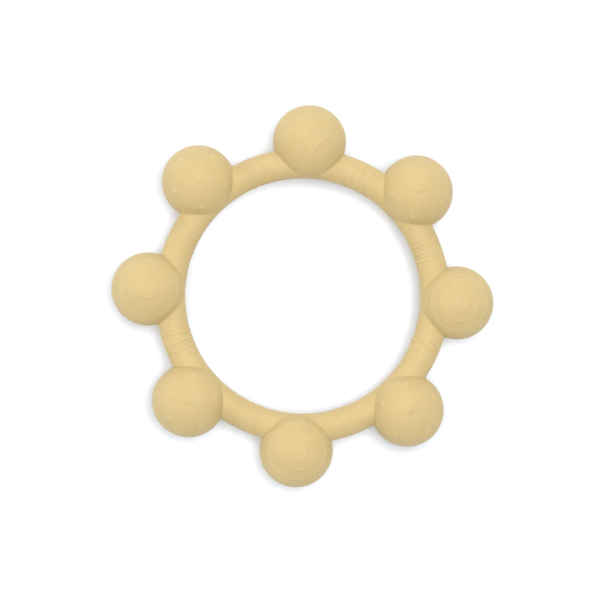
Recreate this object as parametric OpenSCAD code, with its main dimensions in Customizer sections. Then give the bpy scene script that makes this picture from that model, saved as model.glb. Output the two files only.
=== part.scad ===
// Teething ring: a grip ring with eight chew balls round it, each ball seated over the ring.
// +Z is up, the origin is under the ring's centre, on the surface that the ring lies on.
// The heart ball stands at +Y, and the other balls follow clockwise as seen from above.

/* [Ring] */
// Clear diameter of the opening inside the grip ring
opening_d = 61.7; // [50:0.1:80]
// Diameter of the grip ring's tube
tube_d = 7.7; // [6:0.1:9.5]

/* [Balls] */
// Diameter of a chew ball
ball_d = 19; // [15:0.1:23]
// How far a ball's inner face stands back from the ring's inner edge
inner_step = 0.15; // [0.1:0.05:0.6]

/* [Ridges between the balls] */
// Distance between neighbouring ridges along the tube
ridge_pitch = 2.15; // [1:0.05:3]
// Width of a ridge where it meets the tube
ridge_w = 0.5; // [0.3:0.05:0.8]
// Height of a ridge above the tube
ridge_h = 0.2; // [0.15:0.01:0.24]
// Angle round the tube, from its outer side, at which the middle ridge ends
middle_ridge_end = 33; // [20:1:60]
// Angle round the tube, from its outer side, at which the outer two ridges end
side_ridge_end = 62; // [40:1:90]

/* [Dots] */
// Diameter of a dot where it meets the ball
dot_d = 2.1; // [1:0.05:2.6]
// Height of a dot above the ball
dot_h = 0.3; // [0.2:0.05:0.5]
// Angle at the ball's centre between the middle dot and the dots round it
dot_spread = 48.5; // [30:0.5:55]
// Number of dots round the middle dot
dots_around = 5; // [3:1:7]

/* [Rings on the balls] */
// Number of raised rings on each face of a ringed ball
ring_count = 3; // [1:1:4]
// Angle at the ball's centre between its pole and the outermost ring
ring_spread = 50.5; // [30:0.5:55]
// Width of a raised ring where it meets the ball
ring_w = 0.5; // [0.3:0.05:0.8]
// Height of a raised ring above the ball
ring_h = 0.2; // [0.15:0.01:0.24]

/* [Heart] */
// Width of the raised heart across its two lobes
heart_w = 8.2; // [5:0.1:9]
// Width of the line that draws the heart
heart_line = 0.6; // [0.4:0.05:1]
// Height of the heart's line above the ball
heart_h = 0.2; // [0.15:0.05:0.4]

/* [Hidden] */
$fn = 96;

silicone = [0.90, 0.80, 0.57];

ball_count = 8;
ball_turn = 360 / ball_count;
tube_r = tube_d / 2;
ball_r = ball_d / 2;
// radius of the tube's middle line, and of the circle that the balls' centres lie on
tube_mid_r = opening_d / 2 + tube_r;
ball_mid_r = opening_d / 2 + inner_step + ball_r;
// the ring rests on the middle dots of its dotted balls
middle_z = ball_r + dot_h;

// radius of the circle, or sphere, whose cap is this wide and this high
function cap_r(width, height) = (width * width / 4 + height * height) / (2 * height);

// Puts its child on the ball that stands clockwise from the heart ball by this many places,
// with +Y pointing out of the ring.
module at_ball(place) {
    rotate([0, 0, -place * ball_turn])
        translate([0, ball_mid_r, middle_z])
            children();
}

// Draws its child on the upper face and, turned over about Y, on the lower one.
module both_faces() {
    children();
    mirror([0, 0, 1]) children();
}

module plain_ring() {
    translate([0, 0, middle_z])
        rotate_extrude()
            translate([tube_mid_r, 0]) circle(tube_r);
}

// A raised line that wraps the inner side of the tube in one plane through the ring's axis.
// It stops end_angle short of the tube's outer side, above and below, in round ends.
// Under it a straight-sided root reaches well into the tube.
module ridge(end_angle) {
    line_r = cap_r(ridge_w, ridge_h);
    line_mid_r = tube_r + ridge_h - line_r;
    translate([tube_mid_r, 0, 0])
        rotate([90, 0, 0]) {
            rotate([0, 0, end_angle])
                rotate_extrude(angle = 360 - 2 * end_angle) {
                    translate([line_mid_r, 0]) circle(line_r);
                    translate([line_mid_r - 2 * line_r, -line_r]) square(2 * line_r);
                }
            for (side = [-1, 1])
                rotate([0, 0, side * end_angle])
                    translate([line_mid_r, 0, 0]) sphere(line_r);
        }
}

// Three ridges side by side, midway between two balls.
module ridge_group() {
    ridge_turn = ridge_pitch / tube_mid_r * 180 / PI;
    ridge(middle_ridge_end);
    for (side = [-1, 1])
        rotate([0, 0, side * ridge_turn]) ridge(side_ridge_end);
}

module grip_ring() {
    color(silicone) {
        plain_ring();
        for (span = [0:ball_count - 1])
            rotate([0, 0, 90 - (span + 0.5) * ball_turn])
                translate([0, 0, middle_z]) ridge_group();
    }
}

// A ball with its relief as children, cut away where the grip ring runs through it.
module seated_ball(place) {
    color(silicone)
        difference() {
            at_ball(place) {
                sphere(ball_r);
                both_faces() children();
            }
            plain_ring();
        }
}

module dot(spread, around) {
    bump_r = cap_r(dot_d, dot_h);
    rotate([0, 0, around])
        rotate([-spread, 0, 0])
            translate([0, 0, ball_r + dot_h - bump_r]) sphere(bump_r);
}

// One dot on the pole, and a circle of dots round it with one pointing out of the ring.
module dots() {
    dot(0, 0);
    for (i = [0:dots_around - 1]) dot(dot_spread, i * 360 / dots_around);
}

// Raised rings round the pole, evenly spaced as seen from above.
module rings() {
    line_r = cap_r(ring_w, ring_h);
    line_mid_r = ball_r + ring_h - line_r;
    for (i = [1:ring_count]) {
        spread = asin(sin(ring_spread) * i / ring_count);
        rotate_extrude()
            translate([line_mid_r * sin(spread), line_mid_r * cos(spread)]) circle(line_r);
    }
}

// Outline of a heart centred on the origin, with its tip towards -Y, drawn this far inside its edge.
// The lobes are two circles, and the straight sides run from the tip into them.
module heart_outline(inset) {
    lobe_r = 0.265 * heart_w - inset;
    lobe_x = 0.235 * heart_w;
    lobe_y = 0.16 * heart_w;
    tip_y = -0.5 * heart_w + 1.5 * inset;
    side_x = lobe_x + 0.72 * lobe_r;
    side_y = lobe_y - 0.6 * lobe_r;
    for (side = [-1, 1])
        translate([side * lobe_x, lobe_y]) circle(lobe_r);
    polygon([[0, tip_y], [side_x, side_y], [0, lobe_y + lobe_r / 4], [-side_x, side_y]]);
}

// A heart drawn in one raised line on the ball's face, with its tip towards the ring's centre.
module heart() {
    intersection() {
        linear_extrude(height = ball_d)
            difference() {
                heart_outline(0);
                heart_outline(heart_line);
            }
        sphere(ball_r + heart_h);
    }
}

module heart_ball() { seated_ball(0) heart(); }
// Dotted balls take the odd places clockwise from the heart ball, and ringed balls the even ones.
module dotted_ball(number) { seated_ball(2 * number - 1) dots(); }
module ringed_ball(number) { seated_ball(2 * number) rings(); }

grip_ring();
heart_ball();
dotted_ball(1);  // dotted_ball_1
ringed_ball(1);  // ringed_ball_1
dotted_ball(2);  // dotted_ball_2
ringed_ball(2);  // ringed_ball_2
dotted_ball(3);  // dotted_ball_3
ringed_ball(3);  // ringed_ball_3
dotted_ball(4);  // dotted_ball_4
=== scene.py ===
"""A soft silicone teething ring: a grip ring with raised ridges, and eight chew balls round it.

Lengths are in metres. The ring lies on the floor with its axis along +Z, and the heart ball is at +Y.
Every surface is a grid of points worked out from two parameters, such as a bearing round the ring and an
angle round its tube. Where a ball meets the tube, both surfaces rise into one soft fillet.
"""

import math

import bpy
import numpy as np
from mathutils import Matrix, Vector


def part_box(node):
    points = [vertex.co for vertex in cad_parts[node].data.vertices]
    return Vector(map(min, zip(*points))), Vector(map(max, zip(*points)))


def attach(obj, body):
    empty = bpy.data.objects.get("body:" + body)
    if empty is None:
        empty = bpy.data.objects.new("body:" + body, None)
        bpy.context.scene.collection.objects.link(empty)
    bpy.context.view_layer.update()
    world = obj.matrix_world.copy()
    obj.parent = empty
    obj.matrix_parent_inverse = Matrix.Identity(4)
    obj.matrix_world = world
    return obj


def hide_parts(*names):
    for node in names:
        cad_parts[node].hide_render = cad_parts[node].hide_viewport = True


MM = 0.001
TURN = 2 * math.pi
TINY = 1e-9  # keeps a division by a length from failing where the length is 0

# ---- sizes ------------------------------------------------------------------------------------------

LINE_SOFTNESS = 2.4  # of ridges, rings and the heart: see swell()

RIDGE_PITCH = 2.15 * MM  # from one ridge to the next along the tube
RIDGE_WIDTH = 0.88 * MM  # over its soft feet
RIDGE_HEIGHT = 0.14 * MM  # on the tube's upper and lower sides
INNER_RIDGE_HEIGHT = 0.23 * MM  # on the tube's inner side
CAD_RIDGE_HEIGHT = 0.2 * MM  # of the ridges on the frame's own grip ring
MIDDLE_RIDGE_END = math.radians(33)  # round the tube from its outer side
SIDE_RIDGE_END = math.radians(62)

DOT_WIDTH = 2.35 * MM
DOT_HEIGHT = 0.3 * MM
DOT_SOFTNESS = 1.5
DOT_SPREAD = math.radians(48.5)  # at the ball's centre, from the middle dot to the others
DOTS_AROUND = 5

RING_WIDTH = 0.88 * MM  # over its soft feet
RING_HEIGHT = 0.09 * MM
RING_SPREAD = math.radians(50.5)  # at the ball's centre, from the pole to the outermost ring
RING_COUNT = 3

HEART_WIDTH = 8.2 * MM
HEART_BAND = 0.6 * MM  # the line's middle runs half of this inside the heart's edge
HEART_LINE_WIDTH = 0.85 * MM  # over its soft feet
HEART_HEIGHT = 0.12 * MM

PARTING_WIDTH = 0.34 * MM  # of the fine line that the two halves of the mould leave
PARTING_HEIGHT = 0.06 * MM

FILLET = 0.75 * MM  # reach of the fillet where the ball and the tube meet at a right angle
FILLET_TOP = 0.75  # how high the fillet's hidden part gets, as a share of its reach
FILLET_END = 2.0  # how deep inside the neighbour the hidden part ends, as a share of the reach
LEAST_FILLET = 1e-4  # share of FILLET that is left where the two surfaces run side by side
HALVINGS = 22  # steps that find a point on the fillet, each twice as close as the one before

# ---- marks that the material reads ------------------------------------------------------------------

FOOT_SHADE_WIDTH = 0.7 * MM  # of the band of painted shade round the foot of the relief
BALL_CREASE_SHADE = 1.8 * MM  # how far up the ball the painted shade in its crease by the tube reaches
TUBE_CREASE_SHADE = 0.5 * MM  # how far along the tube that painted shade reaches
CREASE_SHADE_GAIN = 1.4  # how fast that painted shade grows with the turn between the two surfaces: see crease()
POLE_SHEEN_AND_DUST = 0.1  # share of the paler tint, painted sheen and partly dust, that relief on a ball's pole gets
SHEEN_AND_DUST_BY_KIND = {"heart": 1.0, "dotted": 0.35, "ringed": 1.0}  # how far each kind of relief turns paler, as painted sheen and partly dust

# ---- grids ------------------------------------------------------------------------------------------

BALL_ROWS = 220
BALL_COLUMNS = 288
TUBE_ROWS = 88
TUBE_COLUMNS = 1100
SPACING_STEPS = 8000  # that the spacing of a grid's lines is added up in

# extra grid lines by a feature, as a multiple of those on bare surface
PARTING_LINES = 3
RING_LINES = 4
RIDGE_LINES = 5
DOT_LINES = 1
SEAM_LINES = 0.7  # on a ball's side that meets the tube
NEAR_BALL_LINES = 0.8
NEAR_BALL = math.radians(14)  # bearing from a ball's middle within which the tube counts as near it


# ---- the frame --------------------------------------------------------------------------------------

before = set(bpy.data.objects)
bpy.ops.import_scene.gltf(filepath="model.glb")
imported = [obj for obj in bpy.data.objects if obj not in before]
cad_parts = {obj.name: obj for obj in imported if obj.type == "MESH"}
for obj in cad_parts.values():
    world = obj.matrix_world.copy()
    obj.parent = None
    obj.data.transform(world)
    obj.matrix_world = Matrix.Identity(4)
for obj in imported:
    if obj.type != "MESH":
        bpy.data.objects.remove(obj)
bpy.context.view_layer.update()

ring_low, ring_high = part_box("grip_ring")
ball_low, ball_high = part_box("ringed_ball_2")  # it stands towards -Y
MIDDLE_Z = (ring_low.z + ring_high.z) / 2
TUBE_R = (ring_high.z - ring_low.z) / 2 - CAD_RIDGE_HEIGHT
TUBE_MID_R = ring_high.x - TUBE_R
BALL_R = (ball_high.z - ball_low.z) / 2
BALL_MID_R = -ball_low.y - BALL_R

# clockwise from the heart ball, as seen from above
BALL_NODES = [
    "heart_ball", "dotted_ball_1", "ringed_ball_1", "dotted_ball_2",
    "ringed_ball_2", "dotted_ball_3", "ringed_ball_3", "dotted_ball_4",
]
BALL_TURN = TURN / len(BALL_NODES)


def ball_centre(place):
    """Middle of the ball that stands this many places clockwise from the heart ball."""
    bearing = place * BALL_TURN
    return np.array([BALL_MID_R * math.sin(bearing), BALL_MID_R * math.cos(bearing), MIDDLE_Z])


# ---- shapes -----------------------------------------------------------------------------------------


def swell(distance, width, height, softness=2):
    """Height of a round-topped line or dot at a distance from its middle.

    With s the distance as a share of half the width, it is height times (1 - s^2) to the power softness,
    and 0 where s is over 1. A higher softness gives a softer foot."""
    share = np.clip(np.abs(distance) / (width / 2), 0, 1)
    return height * (1 - share**2) ** softness


def crease(foot, outward, neighbour, reach):
    """How much painted shade a place gets in the crease by its neighbour, from 0 to 1.

    It is the square of 1 - gap / reach, times how sharply the two surfaces turn from each other, which is
    CREASE_SHADE_GAIN times 1 less the cosine between their directions, and at most 1."""
    gap, direction = neighbour(foot)
    turn = np.clip(CREASE_SHADE_GAIN * (1 - (outward * direction).sum(axis=-1)), 0, 1)
    return turn * (1 - np.clip(gap / reach, 0, 1)) ** 2


def spaced(count, density):
    """count + 1 values from 0 to 1, closer together where density(t) is high.

    The running total of density is turned round, so that equal steps of the total give the values."""
    t = np.linspace(0, 1, SPACING_STEPS + 1)
    d = density(t)
    total = np.concatenate([[0], np.cumsum((d[1:] + d[:-1]) / 2)])
    return np.interp(np.linspace(0, total[-1], count + 1), total, t)


def from_tube(points):
    """Distance of each point outside the bare tube, and the direction away from the tube's middle line.

    The distance is sqrt((r - R)^2 + z^2) less the tube's radius, with r the distance from the ring's
    axis, R that of the tube's middle line, and z the height above it."""
    reach = np.hypot(points[..., 0], points[..., 1])
    across = reach - TUBE_MID_R
    up = points[..., 2] - MIDDLE_Z
    away = np.hypot(across, up)
    flat = across / np.maximum(reach, TINY)
    direction = np.stack([points[..., 0] * flat, points[..., 1] * flat, up], axis=-1)
    return away - TUBE_R, direction / np.maximum(away, TINY)[..., None]


def from_balls(points):
    """Distance of each point outside the nearest bare ball, and the direction away from its middle."""
    gaps = np.full(points.shape[:-1], np.inf)
    directions = np.zeros_like(points)
    for place in range(len(BALL_NODES)):
        arm = points - ball_centre(place)
        length = np.linalg.norm(arm, axis=-1)
        nearer = length - BALL_R < gaps
        gaps = np.where(nearer, length - BALL_R, gaps)
        directions = np.where(nearer[..., None], arm / np.maximum(length, TINY)[..., None], directions)
    return gaps, directions


def fillet_curve(gap, reach):
    """How far a surface stands off its bare shape where its neighbour's bare shape is a gap away.

    sqrt(off) + sqrt(gap) = sqrt(reach) is a parabola that touches both bare shapes. It is followed as far
    as off = gap = reach / 4, where the two pieces meet. Past that the surface goes straight on, below its
    neighbour's, up to FILLET_TOP, and sinks back to its bare shape by FILLET_END inside the neighbour."""
    curve = (np.sqrt(reach) - np.sqrt(np.clip(gap, 0, reach))) ** 2
    straight = np.minimum(reach / 2 - gap, FILLET_TOP * reach)
    top_depth = FILLET_TOP - 1 / 2
    sink = np.clip((gap + FILLET_END * reach) / ((FILLET_END - top_depth) * reach), 0, 1)
    return np.where(gap > reach / 4, curve, straight * sink * sink * (3 - 2 * sink))


def fillet_rise(foot, outward, neighbour):
    """How far each point rises from foot along outward to lie on the fillet, found by halving.

    The fillet's reach is FILLET times 1 less the cosine between the two surfaces' directions, and at most
    FILLET, so it fades out where they run side by side."""
    low = np.zeros(foot.shape[:-1])
    high = np.full(foot.shape[:-1], FILLET)
    for _ in range(HALVINGS):
        rise = (low + high) / 2
        gap, direction = neighbour(foot + outward * rise[..., None])
        cosine = (outward * direction).sum(axis=-1)
        reach = FILLET * np.clip(1 - cosine, LEAST_FILLET, 1)
        over = rise > fillet_curve(gap, reach)
        high = np.where(over, rise, high)
        low = np.where(over, low, rise)
    return (low + high) / 2


def dots_relief(across, out, up):
    """Distance from the nearest dot's middle, and what swell() needs: the width, height and softness.

    There is a dot on each pole and a circle of dots round it, one of them pointing out of the ring.
    across, out and up are the parts of a unit direction from the ball's middle."""
    middles = [(0.0, 0.0, 1.0)]
    for i in range(DOTS_AROUND):
        bearing = i * TURN / DOTS_AROUND
        reach = math.sin(DOT_SPREAD)
        middles.append((reach * math.sin(bearing), reach * math.cos(bearing), math.cos(DOT_SPREAD)))
    distance = np.full(up.shape, np.inf)
    for x, y, z in middles:
        chord = np.sqrt((across - x) ** 2 + (out - y) ** 2 + (np.abs(up) - z) ** 2) * BALL_R
        distance = np.minimum(distance, chord)
    return distance, DOT_WIDTH, DOT_HEIGHT, DOT_SOFTNESS


def ring_angles():
    """Angles from the pole at which a ball's raised rings lie, evenly spaced as seen from above."""
    steps = np.arange(1, RING_COUNT + 1) / RING_COUNT
    return np.arcsin(math.sin(RING_SPREAD) * steps)


def rings_relief(across, out, up):
    """Distance from the nearest raised ring, which lies at a fixed angle from the pole, and its sizes."""
    from_pole = np.arctan2(np.hypot(across, out), np.abs(up))
    distance = np.min([np.abs(from_pole - angle) * BALL_R for angle in ring_angles()], axis=0)
    return distance, RING_WIDTH, RING_HEIGHT, LINE_SOFTNESS


def heart_relief(across, out, up):
    """Distance from the heart that is drawn in one raised line on each face, and the line's sizes.

    The heart's edge is where the lesser of two distances is 0: that from a lobe, which is a circle, and
    that from the wedge under the lobes, whose straight sides meet in the tip."""
    x = np.abs(across) * BALL_R
    y = out * BALL_R
    lobe_r = 0.265 * HEART_WIDTH
    lobe_x = 0.235 * HEART_WIDTH
    lobe_y = 0.16 * HEART_WIDTH
    tip_y = -0.5 * HEART_WIDTH
    # the wedge's side runs from the tip through this place, just inside the lobe's edge
    side_x = lobe_x + 0.72 * lobe_r
    side_y = lobe_y - 0.6 * lobe_r
    lean = math.atan2(side_x, side_y - tip_y)
    lobe = np.hypot(x - lobe_x, y - lobe_y) - lobe_r
    wedge = np.maximum(x * math.cos(lean) - (y - tip_y) * math.sin(lean), y - lobe_y)
    inside = -np.minimum(lobe, wedge)
    return np.abs(inside - HEART_BAND / 2), HEART_LINE_WIDTH, HEART_HEIGHT, LINE_SOFTNESS


RELIEFS = {"heart": heart_relief, "dotted": dots_relief, "ringed": rings_relief}


def steep_share(across, out):
    """How much of its paler tint, painted sheen and partly dust, the relief shows at a place.

    It is POLE_SHEEN_AND_DUST on a pole and 1 from the outermost ring on. Between them it grows with the
    square of the distance from the ball's axis."""
    steepness = np.hypot(across, out) / math.sin(RING_SPREAD)
    return POLE_SHEEN_AND_DUST + (1 - POLE_SHEEN_AND_DUST) * np.clip(steepness, 0, 1) ** 2


def ball_shape(place, kind):
    """A ball's points, as a grid of angles from its upper pole and bearings round it.

    A point is the ball's middle plus its direction times the ball's radius, the fillet's rise and the
    relief. Rows are close together across raised rings, dots and the parting line, and columns are close
    together on the side that meets the tube."""

    def row_density(t):
        fall = np.abs(t * math.pi - math.pi / 2)  # angle above or below the middle
        density = 1 + PARTING_LINES * swell(fall * BALL_R, 2 * PARTING_WIDTH, 1)
        if kind != "ringed":
            return density + DOT_LINES * (fall > math.pi / 2 - DOT_SPREAD - DOT_WIDTH / BALL_R)
        for angle in ring_angles():
            from_ring = np.abs(math.pi / 2 - angle - fall) * BALL_R
            density += RING_LINES * swell(from_ring, 2 * RING_WIDTH, 1, 1)
        return density

    def column_density(t):
        return 1 + SEAM_LINES * (1 - np.cos(TURN * t)) / 2

    down = spaced(BALL_ROWS, row_density)
    round_ = spaced(BALL_COLUMNS, column_density)
    fall, bearing = np.meshgrid(down * math.pi, round_[:-1] * TURN, indexing="ij")
    across = np.sin(fall) * np.sin(bearing)
    out = np.sin(fall) * np.cos(bearing)
    up = np.cos(fall)
    turn = place * BALL_TURN
    east = across * math.cos(turn) + out * math.sin(turn)
    north = out * math.cos(turn) - across * math.sin(turn)
    direction = np.stack([east, north, up], axis=-1)
    foot = ball_centre(place) + direction * BALL_R
    rise = fillet_rise(foot, direction, from_tube)
    distance, width, height, softness = RELIEFS[kind](across, out, up)
    relief = swell(distance, width, height, softness)
    parting = swell(np.abs(up) * BALL_R, PARTING_WIDTH, PARTING_HEIGHT)
    points = foot + direction * (rise + np.maximum(relief, parting))[..., None]
    marks = {
        # raised: paler relief, painted sheen and partly dust
        "raised": relief / height * SHEEN_AND_DUST_BY_KIND[kind] * steep_share(across, out),
        # foot: painted shade round the foot of the relief
        "foot": swell(distance - width / 2, FOOT_SHADE_WIDTH, 1, 1),
        # crease: painted shade in the crease by the tube
        "crease": crease(foot, direction, from_tube, BALL_CREASE_SHADE),
    }
    return points, down, round_, marks


def tube_shape():
    """The grip ring's points, as a grid of angles round the tube and bearings round the ring.

    A point is the tube's middle line plus its direction times the tube's radius, the fillet's rise and the
    ridges. Angles round the tube start on its outer side. A ridge's height grows from the tube's top to its
    inner side with the cosine of the angle."""
    span_middle = BALL_TURN / 2
    ridge_turns = np.array([-1, 0, 1]) * RIDGE_PITCH / TUBE_MID_R

    def column_density(t):
        within = (t * TURN) % BALL_TURN - span_middle
        density = 1 + NEAR_BALL_LINES * (np.abs(within) > span_middle - NEAR_BALL)
        for turn in ridge_turns:
            from_ridge = np.abs(within - turn) * TUBE_MID_R
            density += RIDGE_LINES * swell(from_ridge, 2 * RIDGE_WIDTH, 1, 1)
        return density

    def row_density(t):
        return 1 + PARTING_LINES * swell(np.abs(np.sin(TURN * t)) * TUBE_R, 2 * PARTING_WIDTH, 1)

    around = spaced(TUBE_ROWS, row_density)
    along = spaced(TUBE_COLUMNS, column_density)
    angle, bearing = np.meshgrid(around[:-1] * TURN, along[:-1] * TURN, indexing="ij")
    east, north = np.sin(bearing), np.cos(bearing)
    direction = np.stack([np.cos(angle) * east, np.cos(angle) * north, np.sin(angle)], axis=-1)
    middle = np.stack([TUBE_MID_R * east, TUBE_MID_R * north, np.full_like(angle, MIDDLE_Z)], axis=-1)
    foot = middle + direction * TUBE_R
    rise = fillet_rise(foot, direction, from_balls)

    within = bearing % BALL_TURN - span_middle
    reach = TUBE_MID_R + TUBE_R * np.cos(angle)
    from_outer_side = np.abs((angle + math.pi) % TURN - math.pi)
    distance = np.full(angle.shape, np.inf)
    for turn, end in zip(ridge_turns, (SIDE_RIDGE_END, MIDDLE_RIDGE_END, SIDE_RIDGE_END)):
        beside = reach * np.sin(within - turn)
        past_end = TUBE_R * np.clip(end - from_outer_side, 0, None)
        distance = np.minimum(distance, np.hypot(beside, past_end))
    height = RIDGE_HEIGHT + (INNER_RIDGE_HEIGHT - RIDGE_HEIGHT) * np.clip(-np.cos(angle), 0, 1)
    relief = swell(distance, RIDGE_WIDTH, height, LINE_SOFTNESS)
    parting = swell(np.abs(np.sin(angle)) * TUBE_R, PARTING_WIDTH, PARTING_HEIGHT)
    points = foot + direction * (rise + np.maximum(relief, parting))[..., None]
    marks = {
        # raised: paler ridges, painted sheen and partly dust
        "raised": relief / height,
        # foot: painted shade round the foot of the ridges
        "foot": swell(distance - RIDGE_WIDTH / 2, FOOT_SHADE_WIDTH, 1, 1),
        # crease: painted shade in the crease by the balls
        "crease": crease(foot, direction, from_balls, TUBE_CREASE_SHADE),
    }
    return points, around, along, marks


# ---- meshes -----------------------------------------------------------------------------------------


def signed_volume(points, faces):
    """Volume inside the faces: a sixth of the sum of a . (b x c). It is negative if they point inwards."""
    a, b, c = (points[faces[:, i]] for i in (0, 1, 2))
    volume = (a * np.cross(b, c)).sum()
    if faces.shape[1] == 4:
        d = points[faces[:, 3]]
        volume += (a * np.cross(c, d)).sum()
    return volume / 6


def add_piece(name, points, faces_and_maps, values):
    """Makes a smooth closed mesh from points and groups of faces, each with its places on a flat map.

    The faces are turned outwards, and values are stored as one number a point."""
    if sum(signed_volume(points, faces) for faces, _ in faces_and_maps) < 0:
        faces_and_maps = [(faces[:, ::-1], places[:, ::-1]) for faces, places in faces_and_maps]
    mesh = bpy.data.meshes.new(name)
    mesh.from_pydata(points.tolist(), [], [f for faces, _ in faces_and_maps for f in faces.tolist()])
    mesh.shade_smooth()
    flat = np.concatenate([places.reshape(-1, 2) for _, places in faces_and_maps])
    mesh.uv_layers.new(name="OFBake").uv.foreach_set("vector", flat.astype(np.float32).ravel())
    for key, value in values.items():
        attribute = mesh.attributes.new(key, "FLOAT", "POINT")
        attribute.data.foreach_set("value", value.astype(np.float32).ravel())
    piece = bpy.data.objects.new(name, mesh)
    bpy.context.scene.collection.objects.link(piece)
    return piece


def grid_faces(rows, columns, row_places, column_places, wrap_rows):
    """Quads of a grid whose columns wrap round, as its rows may, and their places on the map."""
    r = np.arange(rows if wrap_rows else rows - 1)[:, None]
    c = np.arange(columns)[None, :]
    steps = ((0, 0), (0, 1), (1, 1), (1, 0))

    def corner_places(i, j):
        return np.stack(np.broadcast_arrays(column_places[c + j], row_places[r + i]), axis=-1)

    faces = np.stack([((r + i) % rows) * columns + (c + j) % columns for i, j in steps], axis=-1)
    places = np.stack([corner_places(i, j) for i, j in steps], axis=2)
    return faces.reshape(-1, 4), places.reshape(-1, 4, 2)


def make_ball(name, place, kind):
    """A ball's mesh. The first and last rows of its grid are its poles, and each becomes one point."""
    points, down, round_, marks = ball_shape(place, kind)
    rows, columns = points.shape[0] - 2, points.shape[1]
    groups = [grid_faces(rows, columns, down[1:-1], round_, wrap_rows=False)]
    c = np.arange(columns)
    upper_pole, lower_pole = rows * columns, rows * columns + 1
    last_row = (rows - 1) * columns
    poles = ((upper_pole, 0, down[0], down[1]), (lower_pole, last_row, down[-1], down[-2]))
    for pole, first, pole_place, row_place in poles:
        fan = np.stack([np.full(columns, pole), first + c, first + (c + 1) % columns], axis=-1)
        across = ((round_[:-1] + round_[1:]) / 2, round_[:-1], round_[1:])
        heights = (pole_place, row_place, row_place)
        spots = [np.stack([x, np.full(columns, y)], axis=-1) for x, y in zip(across, heights)]
        spots = np.stack(spots, axis=1)
        # the quads run down the ball, so the fan over their first row is wound the other way
        groups.append((fan[:, ::-1], spots[:, ::-1]) if pole == upper_pole else (fan, spots))

    def listed(grid):
        flat = grid[1:-1].reshape(rows * columns, -1)
        return np.concatenate([flat, grid[0, 0].reshape(1, -1), grid[-1, 0].reshape(1, -1)])

    return add_piece(name, listed(points), groups, {key: listed(mark) for key, mark in marks.items()})


def make_tube(name):
    """The grip ring's mesh, whose grid wraps round both ways."""
    points, around, along, marks = tube_shape()
    faces_and_map = grid_faces(TUBE_ROWS, TUBE_COLUMNS, around, along, wrap_rows=True)
    return add_piece(name, points.reshape(-1, 3), [faces_and_map], marks)


# ---- materials --------------------------------------------------------------------------------------


def put(tree, kind, settings=None, **inputs):
    """Adds a node, sets its settings and inputs, and links an input that is given as a socket.

    An input is called by its name with _ for each space, or by _ and its number."""
    node = tree.nodes.new(kind)
    for key, value in (settings or {}).items():
        setattr(node, key, value)
    for key, value in inputs.items():
        socket = node.inputs[int(key[1:])] if key[0] == "_" else node.inputs[key.replace("_", " ")]
        if isinstance(value, bpy.types.NodeSocket):
            tree.links.new(value, socket)
        else:
            socket.default_value = value
    return node


def worked(tree, operation, first, second):
    """What a Math node gives for two values."""
    return put(tree, "ShaderNodeMath", {"operation": operation}, _0=first, _1=second).outputs[0]


def mixed_colour(tree, share, under, over):
    """Colour over laid on colour under by a share."""
    return put(tree, "ShaderNodeMix", {"data_type": "RGBA"}, _0=share, _6=under, _7=over).outputs[2]


def noise(tree, place, size, **inputs):
    """Soft noise round 0.5, in blobs of about this size."""
    scale = worked(tree, "DIVIDE", 1.0, size)
    return put(tree, "ShaderNodeTexNoise", Vector=place, Scale=scale, **inputs).outputs[0]


def new_group(name, inputs, outputs):
    """A shader node group with named inputs and outputs, and its inner ends."""
    tree = bpy.data.node_groups.new(name, "ShaderNodeTree")
    for key, (kind, value) in inputs.items():
        socket = tree.interface.new_socket(key, in_out="INPUT", socket_type=kind)
        socket.default_value = value
    for key, kind in outputs.items():
        tree.interface.new_socket(key, in_out="OUTPUT", socket_type=kind)
    return tree, tree.nodes.new("NodeGroupInput").outputs, tree.nodes.new("NodeGroupOutput").inputs


def moulded_grain():
    """Height of the fine matte grain that the mould leaves, with a slow swell of the surface under it."""
    tree, given, made = new_group(
        "moulded_grain",
        {
            "Place": ("NodeSocketVector", (0, 0, 0)),
            "Grain Size": ("NodeSocketFloat", 0.12 * MM),
            "Swell Size": ("NodeSocketFloat", 3 * MM),
            "Swell Share": ("NodeSocketFloat", 0.6),
        },
        {"Height": "NodeSocketFloat"},
    )
    grain = noise(tree, given["Place"], given["Grain Size"], Detail=3.0, Roughness=0.6)
    swells = noise(tree, given["Place"], given["Swell Size"], Detail=1.0)
    both = put(
        tree, "ShaderNodeMix", {"data_type": "FLOAT"}, _0=given["Swell Share"], _2=grain, _3=swells
    )
    tree.links.new(both.outputs[0], made["Height"])
    return tree


def cloudy_tint():
    """A colour that drifts towards a second one in soft clouds, as pigment does in poured silicone."""
    tree, given, made = new_group(
        "cloudy_tint",
        {
            "Place": ("NodeSocketVector", (0, 0, 0)),
            "Colour": ("NodeSocketColor", (0.8, 0.8, 0.8, 1)),
            "Cloud Colour": ("NodeSocketColor", (0.7, 0.7, 0.7, 1)),
            "Cloud Size": ("NodeSocketFloat", 6 * MM),
        },
        {"Colour": "NodeSocketColor"},
    )
    clouds = noise(tree, given["Place"], given["Cloud Size"], Detail=4.0, Distortion=0.4)
    share = put(tree, "ShaderNodeMapRange", Value=clouds, From_Min=0.35, From_Max=0.7)
    mixed = mixed_colour(tree, share.outputs[0], given["Colour"], given["Cloud Colour"])
    tree.links.new(mixed, made["Colour"])
    return tree


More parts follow.
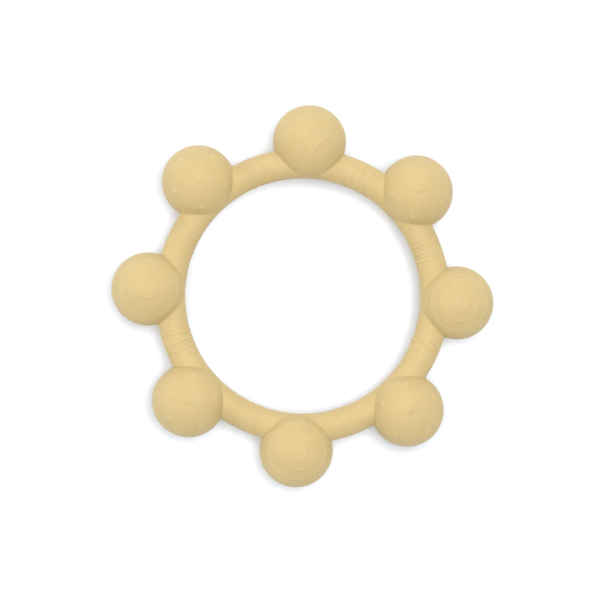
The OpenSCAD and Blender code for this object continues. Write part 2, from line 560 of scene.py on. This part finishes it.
def stray_specks():
    """A mask of sparse small specks, such as lint and dust that cling to silicone.

    A speck is drawn round the middle of a Voronoi cell, in the few cells whose random number is low."""
    tree, given, made = new_group(
        "stray_specks",
        {
            "Place": ("NodeSocketVector", (0, 0, 0)),
            "Spacing": ("NodeSocketFloat", 2 * MM),
            "Speck Size": ("NodeSocketFloat", 0.1),
            "Share": ("NodeSocketFloat", 0.1),
        },
        {"Mask": "NodeSocketFloat"},
    )
    scale = worked(tree, "DIVIDE", 1.0, given["Spacing"])
    cells = put(tree, "ShaderNodeTexVoronoi", Vector=given["Place"], Scale=scale)
    near = put(
        tree,
        "ShaderNodeMapRange",
        {"interpolation_type": "SMOOTHSTEP"},
        Value=cells.outputs["Distance"],
        From_Min=given["Speck Size"],
        From_Max=0.0,
    )
    number = put(tree, "ShaderNodeSeparateColor", _0=cells.outputs["Color"]).outputs[0]
    chosen = worked(tree, "LESS_THAN", number, given["Share"])
    tree.links.new(worked(tree, "MULTIPLY", near.outputs[0], chosen), made["Mask"])
    return tree


def broken_mask():
    """A mask that noise eats into, for the paler relief (painted sheen and partly dust) and for the painted
    shade round its feet and in creases.
    """
    tree, given, made = new_group(
        "broken_mask",
        {
            "Place": ("NodeSocketVector", (0, 0, 0)),
            "Mask": ("NodeSocketFloat", 0.0),
            "Patch Size": ("NodeSocketFloat", 1 * MM),
            "Least": ("NodeSocketFloat", 0.5),
        },
        {"Mask": "NodeSocketFloat"},
    )
    patches = noise(tree, given["Place"], given["Patch Size"], Detail=2.0)
    kept = put(
        tree, "ShaderNodeMapRange", Value=patches, From_Min=0.35, From_Max=0.65, To_Min=given["Least"]
    )
    tree.links.new(worked(tree, "MULTIPLY", given["Mask"], kept.outputs[0]), made["Mask"])
    return tree


GROUPS = {make.__name__: make() for make in (moulded_grain, cloudy_tint, stray_specks, broken_mask)}

PALE = (0.602, 0.468, 0.230, 1)
PALE_CLOUD = (0.585, 0.452, 0.218, 1)
# paler tint of the relief: painted sheen, partly dust
SHEEN_AND_DUST = (0.640, 0.515, 0.280, 1)
# painted shade, for the feet of the relief and for the creases by the tube
PAINTED_SHADE = (0.50, 0.355, 0.125, 1)
SPECK = (0.16, 0.11, 0.06, 1)

CLOUD_SIZE = 5 * MM
FOOT_SHADE = 0.1  # how far the foot of the relief takes the painted shade colour
CREASE_SHADING = 0.7  # how far the creases take the painted shade colour
SPECK_COVER = 0.75  # how far a speck hides the silicone under it
SPECK_SPACING = 2.4 * MM  # between the cells that may hold a speck
SPECK_SIZE = 0.085  # of a speck's radius, as a share of the spacing
SPECK_SHARE = 0.1  # of the cells that hold a speck
HAZE = 0.06  # how far the roughness drifts up and down
HAZE_SIZE = 4 * MM
RELIEF_POLISH = 0.06  # how much less rough the paler relief is
GRAIN_SIZE = 0.11 * MM
SWELL_SIZE = 2.5 * MM
SWELL_SHARE = 0.65  # of the bump's height that is slow swell, and the rest is grain

# each mark's patches: their size, and the least of the mark that noise leaves
SHEEN_AND_DUST_PATCHES = (1.2 * MM, 0.55)
FOOT_SHADE_PATCHES = (0.8 * MM, 0.6)
CREASE_SHADE_PATCHES = (1.5 * MM, 0.8)


def placed(tree, name, **inputs):
    """What a node group gives in a material, with its inputs set or linked."""
    return put(tree, "ShaderNodeGroup", {"node_tree": GROUPS[name]}, **inputs).outputs[0]


def silicone(name, sheen_and_dust_tint, roughness, grain_depth):
    """Soft matte silicone, with cloudy pigment, relief made paler by painted sheen and partly dust, painted
    shade round the relief's feet and in creases, grain and a few specks.

    The second argument is how far the relief turns paler with that painted sheen and dust, and grain_depth
    is the height of the bumps."""
    material = bpy.data.materials.new(name)
    material.use_nodes = True
    tree = material.node_tree
    tree.nodes.clear()
    place = put(tree, "ShaderNodeTexCoord").outputs["Object"]

    def broken(mark, size, least):
        whole = put(tree, "ShaderNodeAttribute", {"attribute_name": mark}).outputs["Fac"]
        return placed(tree, "broken_mask", Place=place, Mask=whole, Patch_Size=size, Least=least)

    base = placed(
        tree, "cloudy_tint", Place=place, Colour=PALE, Cloud_Colour=PALE_CLOUD, Cloud_Size=CLOUD_SIZE
    )
    # the paler relief is painted sheen and partly dust
    sheen_and_dust_mask = broken("raised", *SHEEN_AND_DUST_PATCHES)
    # painted shade round the foot of the relief
    foot_shade_mask = broken("foot", *FOOT_SHADE_PATCHES)
    # painted shade in the creases where the balls meet the tube
    crease_shade_mask = broken("crease", *CREASE_SHADE_PATCHES)
    specks = placed(
        tree,
        "stray_specks",
        Place=place,
        Spacing=SPECK_SPACING,
        Speck_Size=SPECK_SIZE,
        Share=SPECK_SHARE,
    )
    layers = (
        (sheen_and_dust_mask, sheen_and_dust_tint, SHEEN_AND_DUST),
        (foot_shade_mask, FOOT_SHADE, PAINTED_SHADE),
        (crease_shade_mask, CREASE_SHADING, PAINTED_SHADE),
        (specks, SPECK_COVER, SPECK),
    )
    for mask, share, colour in layers:
        base = mixed_colour(tree, worked(tree, "MULTIPLY", mask, share), base, colour)

    haze = put(tree, "ShaderNodeTexNoise", Vector=place, Scale=1 / HAZE_SIZE, Detail=3.0).outputs[0]
    matte = put(
        tree,
        "ShaderNodeMapRange",
        Value=haze,
        From_Min=0.3,
        From_Max=0.7,
        To_Min=roughness - HAZE,
        To_Max=roughness + HAZE,
    ).outputs[0]
    matte = worked(tree, "SUBTRACT", matte, worked(tree, "MULTIPLY", sheen_and_dust_mask, RELIEF_POLISH))

    height = placed(
        tree,
        "moulded_grain",
        Place=place,
        Grain_Size=GRAIN_SIZE,
        Swell_Size=SWELL_SIZE,
        Swell_Share=SWELL_SHARE,
    )
    bump = put(tree, "ShaderNodeBump", Strength=1.0, Distance=grain_depth, Height=height)
    shader = put(
        tree,
        "ShaderNodeBsdfPrincipled",
        Base_Color=base,
        Roughness=matte,
        IOR=1.41,
        Specular_IOR_Level=0.25,
        Normal=bump.outputs[0],
        Subsurface_Weight=0.5,
        Subsurface_Radius=(1.0, 0.62, 0.32),
        Subsurface_Scale=0.8 * MM,
    )
    put(tree, "ShaderNodeOutputMaterial", Surface=shader.outputs[0])
    return material


# ---- the object -------------------------------------------------------------------------------------

tube_silicone = silicone("silicone_tube", sheen_and_dust_tint=0.6, roughness=0.56, grain_depth=0.02 * MM)
ball_silicone = silicone("silicone_ball", sheen_and_dust_tint=1.0, roughness=0.58, grain_depth=0.018 * MM)


def stand_for(piece, node, material):
    """The piece is shown in place of its CAD node, in the object's one silicone."""
    piece.data.materials.append(material)
    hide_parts(node)
    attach(piece, "root")


stand_for(make_tube("ridged_grip_ring"), "grip_ring", tube_silicone)
for place, node in enumerate(BALL_NODES):
    stand_for(make_ball("moulded_" + node, place, node.split("_")[0]), node, ball_silicone)


# ---- floor, light and camera ------------------------------------------------------------------------

FLOOR_HALF = 3.0  # from the ring's middle to the floor's edge
FLOOR_COLOUR = (0.87, 0.915, 1.0, 1)
SKY_COLOUR = (1.0, 0.98, 0.95, 1)
SKY_STRENGTH = 0.34

# bearing clockwise from +Y and elevation in degrees, distance and width in metres, and power in watts
SOFTBOXES = {
    "overhead_softbox": (0, 89.9, 1.4, 0.8, 15),
    "key_softbox": (60, 77, 1.4, 0.5, 3),
    "far_low_softbox": (0, 18, 1.2, 0.5, 3.4),
    "left_low_softbox": (-90, 18, 1.2, 0.5, 3.6),
    "right_softbox": (100, 40, 1.2, 0.7, 1.2),
}


def make_floor():
    """A plain pale floor under the ring."""
    half = FLOOR_HALF
    corners = [(-half, -half, 0), (half, -half, 0), (half, half, 0), (-half, half, 0)]
    mesh = bpy.data.meshes.new("floor")
    mesh.from_pydata(corners, [], [(0, 1, 2, 3)])
    floor = bpy.data.objects.new("floor", mesh)
    bpy.context.scene.collection.objects.link(floor)
    material = bpy.data.materials.new("pale_floor")
    material.use_nodes = True
    shader = material.node_tree.nodes["Principled BSDF"]
    shader.inputs["Base Color"].default_value = FLOOR_COLOUR
    shader.inputs["Roughness"].default_value = 0.9
    shader.inputs["Specular IOR Level"].default_value = 0.1
    mesh.materials.append(material)


def softbox(name, bearing, elevation, distance, width, power):
    """A square area light that faces the ring."""
    a, e = math.radians(bearing), math.radians(elevation)
    towards = Vector((math.sin(a) * math.cos(e), math.cos(a) * math.cos(e), math.sin(e)))
    light = bpy.data.lights.new(name, "AREA")
    light.size = width
    light.energy = power
    lamp = bpy.data.objects.new(name, light)
    lamp.location = towards * distance
    lamp.rotation_mode = "QUATERNION"
    lamp.rotation_quaternion = towards.to_track_quat("Z", "Y")
    bpy.context.scene.collection.objects.link(lamp)


def make_sky():
    """Faintly warm white light from all round."""
    world = bpy.data.worlds.new("studio")
    world.use_nodes = True
    background = world.node_tree.nodes["Background"]
    background.inputs["Color"].default_value = SKY_COLOUR
    background.inputs["Strength"].default_value = SKY_STRENGTH
    bpy.context.scene.world = world


def make_camera():
    """A long lens almost straight above the ring, standing a little to the lower left of its middle."""
    stand = Vector((-46.5 * MM, -30.1 * MM, MIDDLE_Z + 979 * MM))
    aim = Vector((-0.7 * MM, -1.1 * MM, MIDDLE_Z))
    roll = math.radians(2.5)  # the heart ball stands this far clockwise from the top of the view
    view_width = 157 * MM  # what the camera takes in at the height of the balls' middles
    camera = bpy.data.cameras.new("camera")
    camera.sensor_width = 36
    camera.lens = camera.sensor_width * (stand - aim).length / view_width
    camera.clip_start = 0.05
    camera.clip_end = 20
    holder = bpy.data.objects.new("camera", camera)
    back = (stand - aim).normalized()
    up = Vector((-math.sin(roll), math.cos(roll), 0))
    right = up.cross(back).normalized()
    up = back.cross(right)
    turn = Matrix((right, up, back)).transposed().to_4x4()
    holder.matrix_world = Matrix.Translation(stand) @ turn
    bpy.context.scene.collection.objects.link(holder)
    bpy.context.scene.camera = holder


make_floor()
make_sky()
for name, values in SOFTBOXES.items():
    softbox(name, *values)
make_camera()
bpy.context.scene.view_settings.view_transform = "Standard"
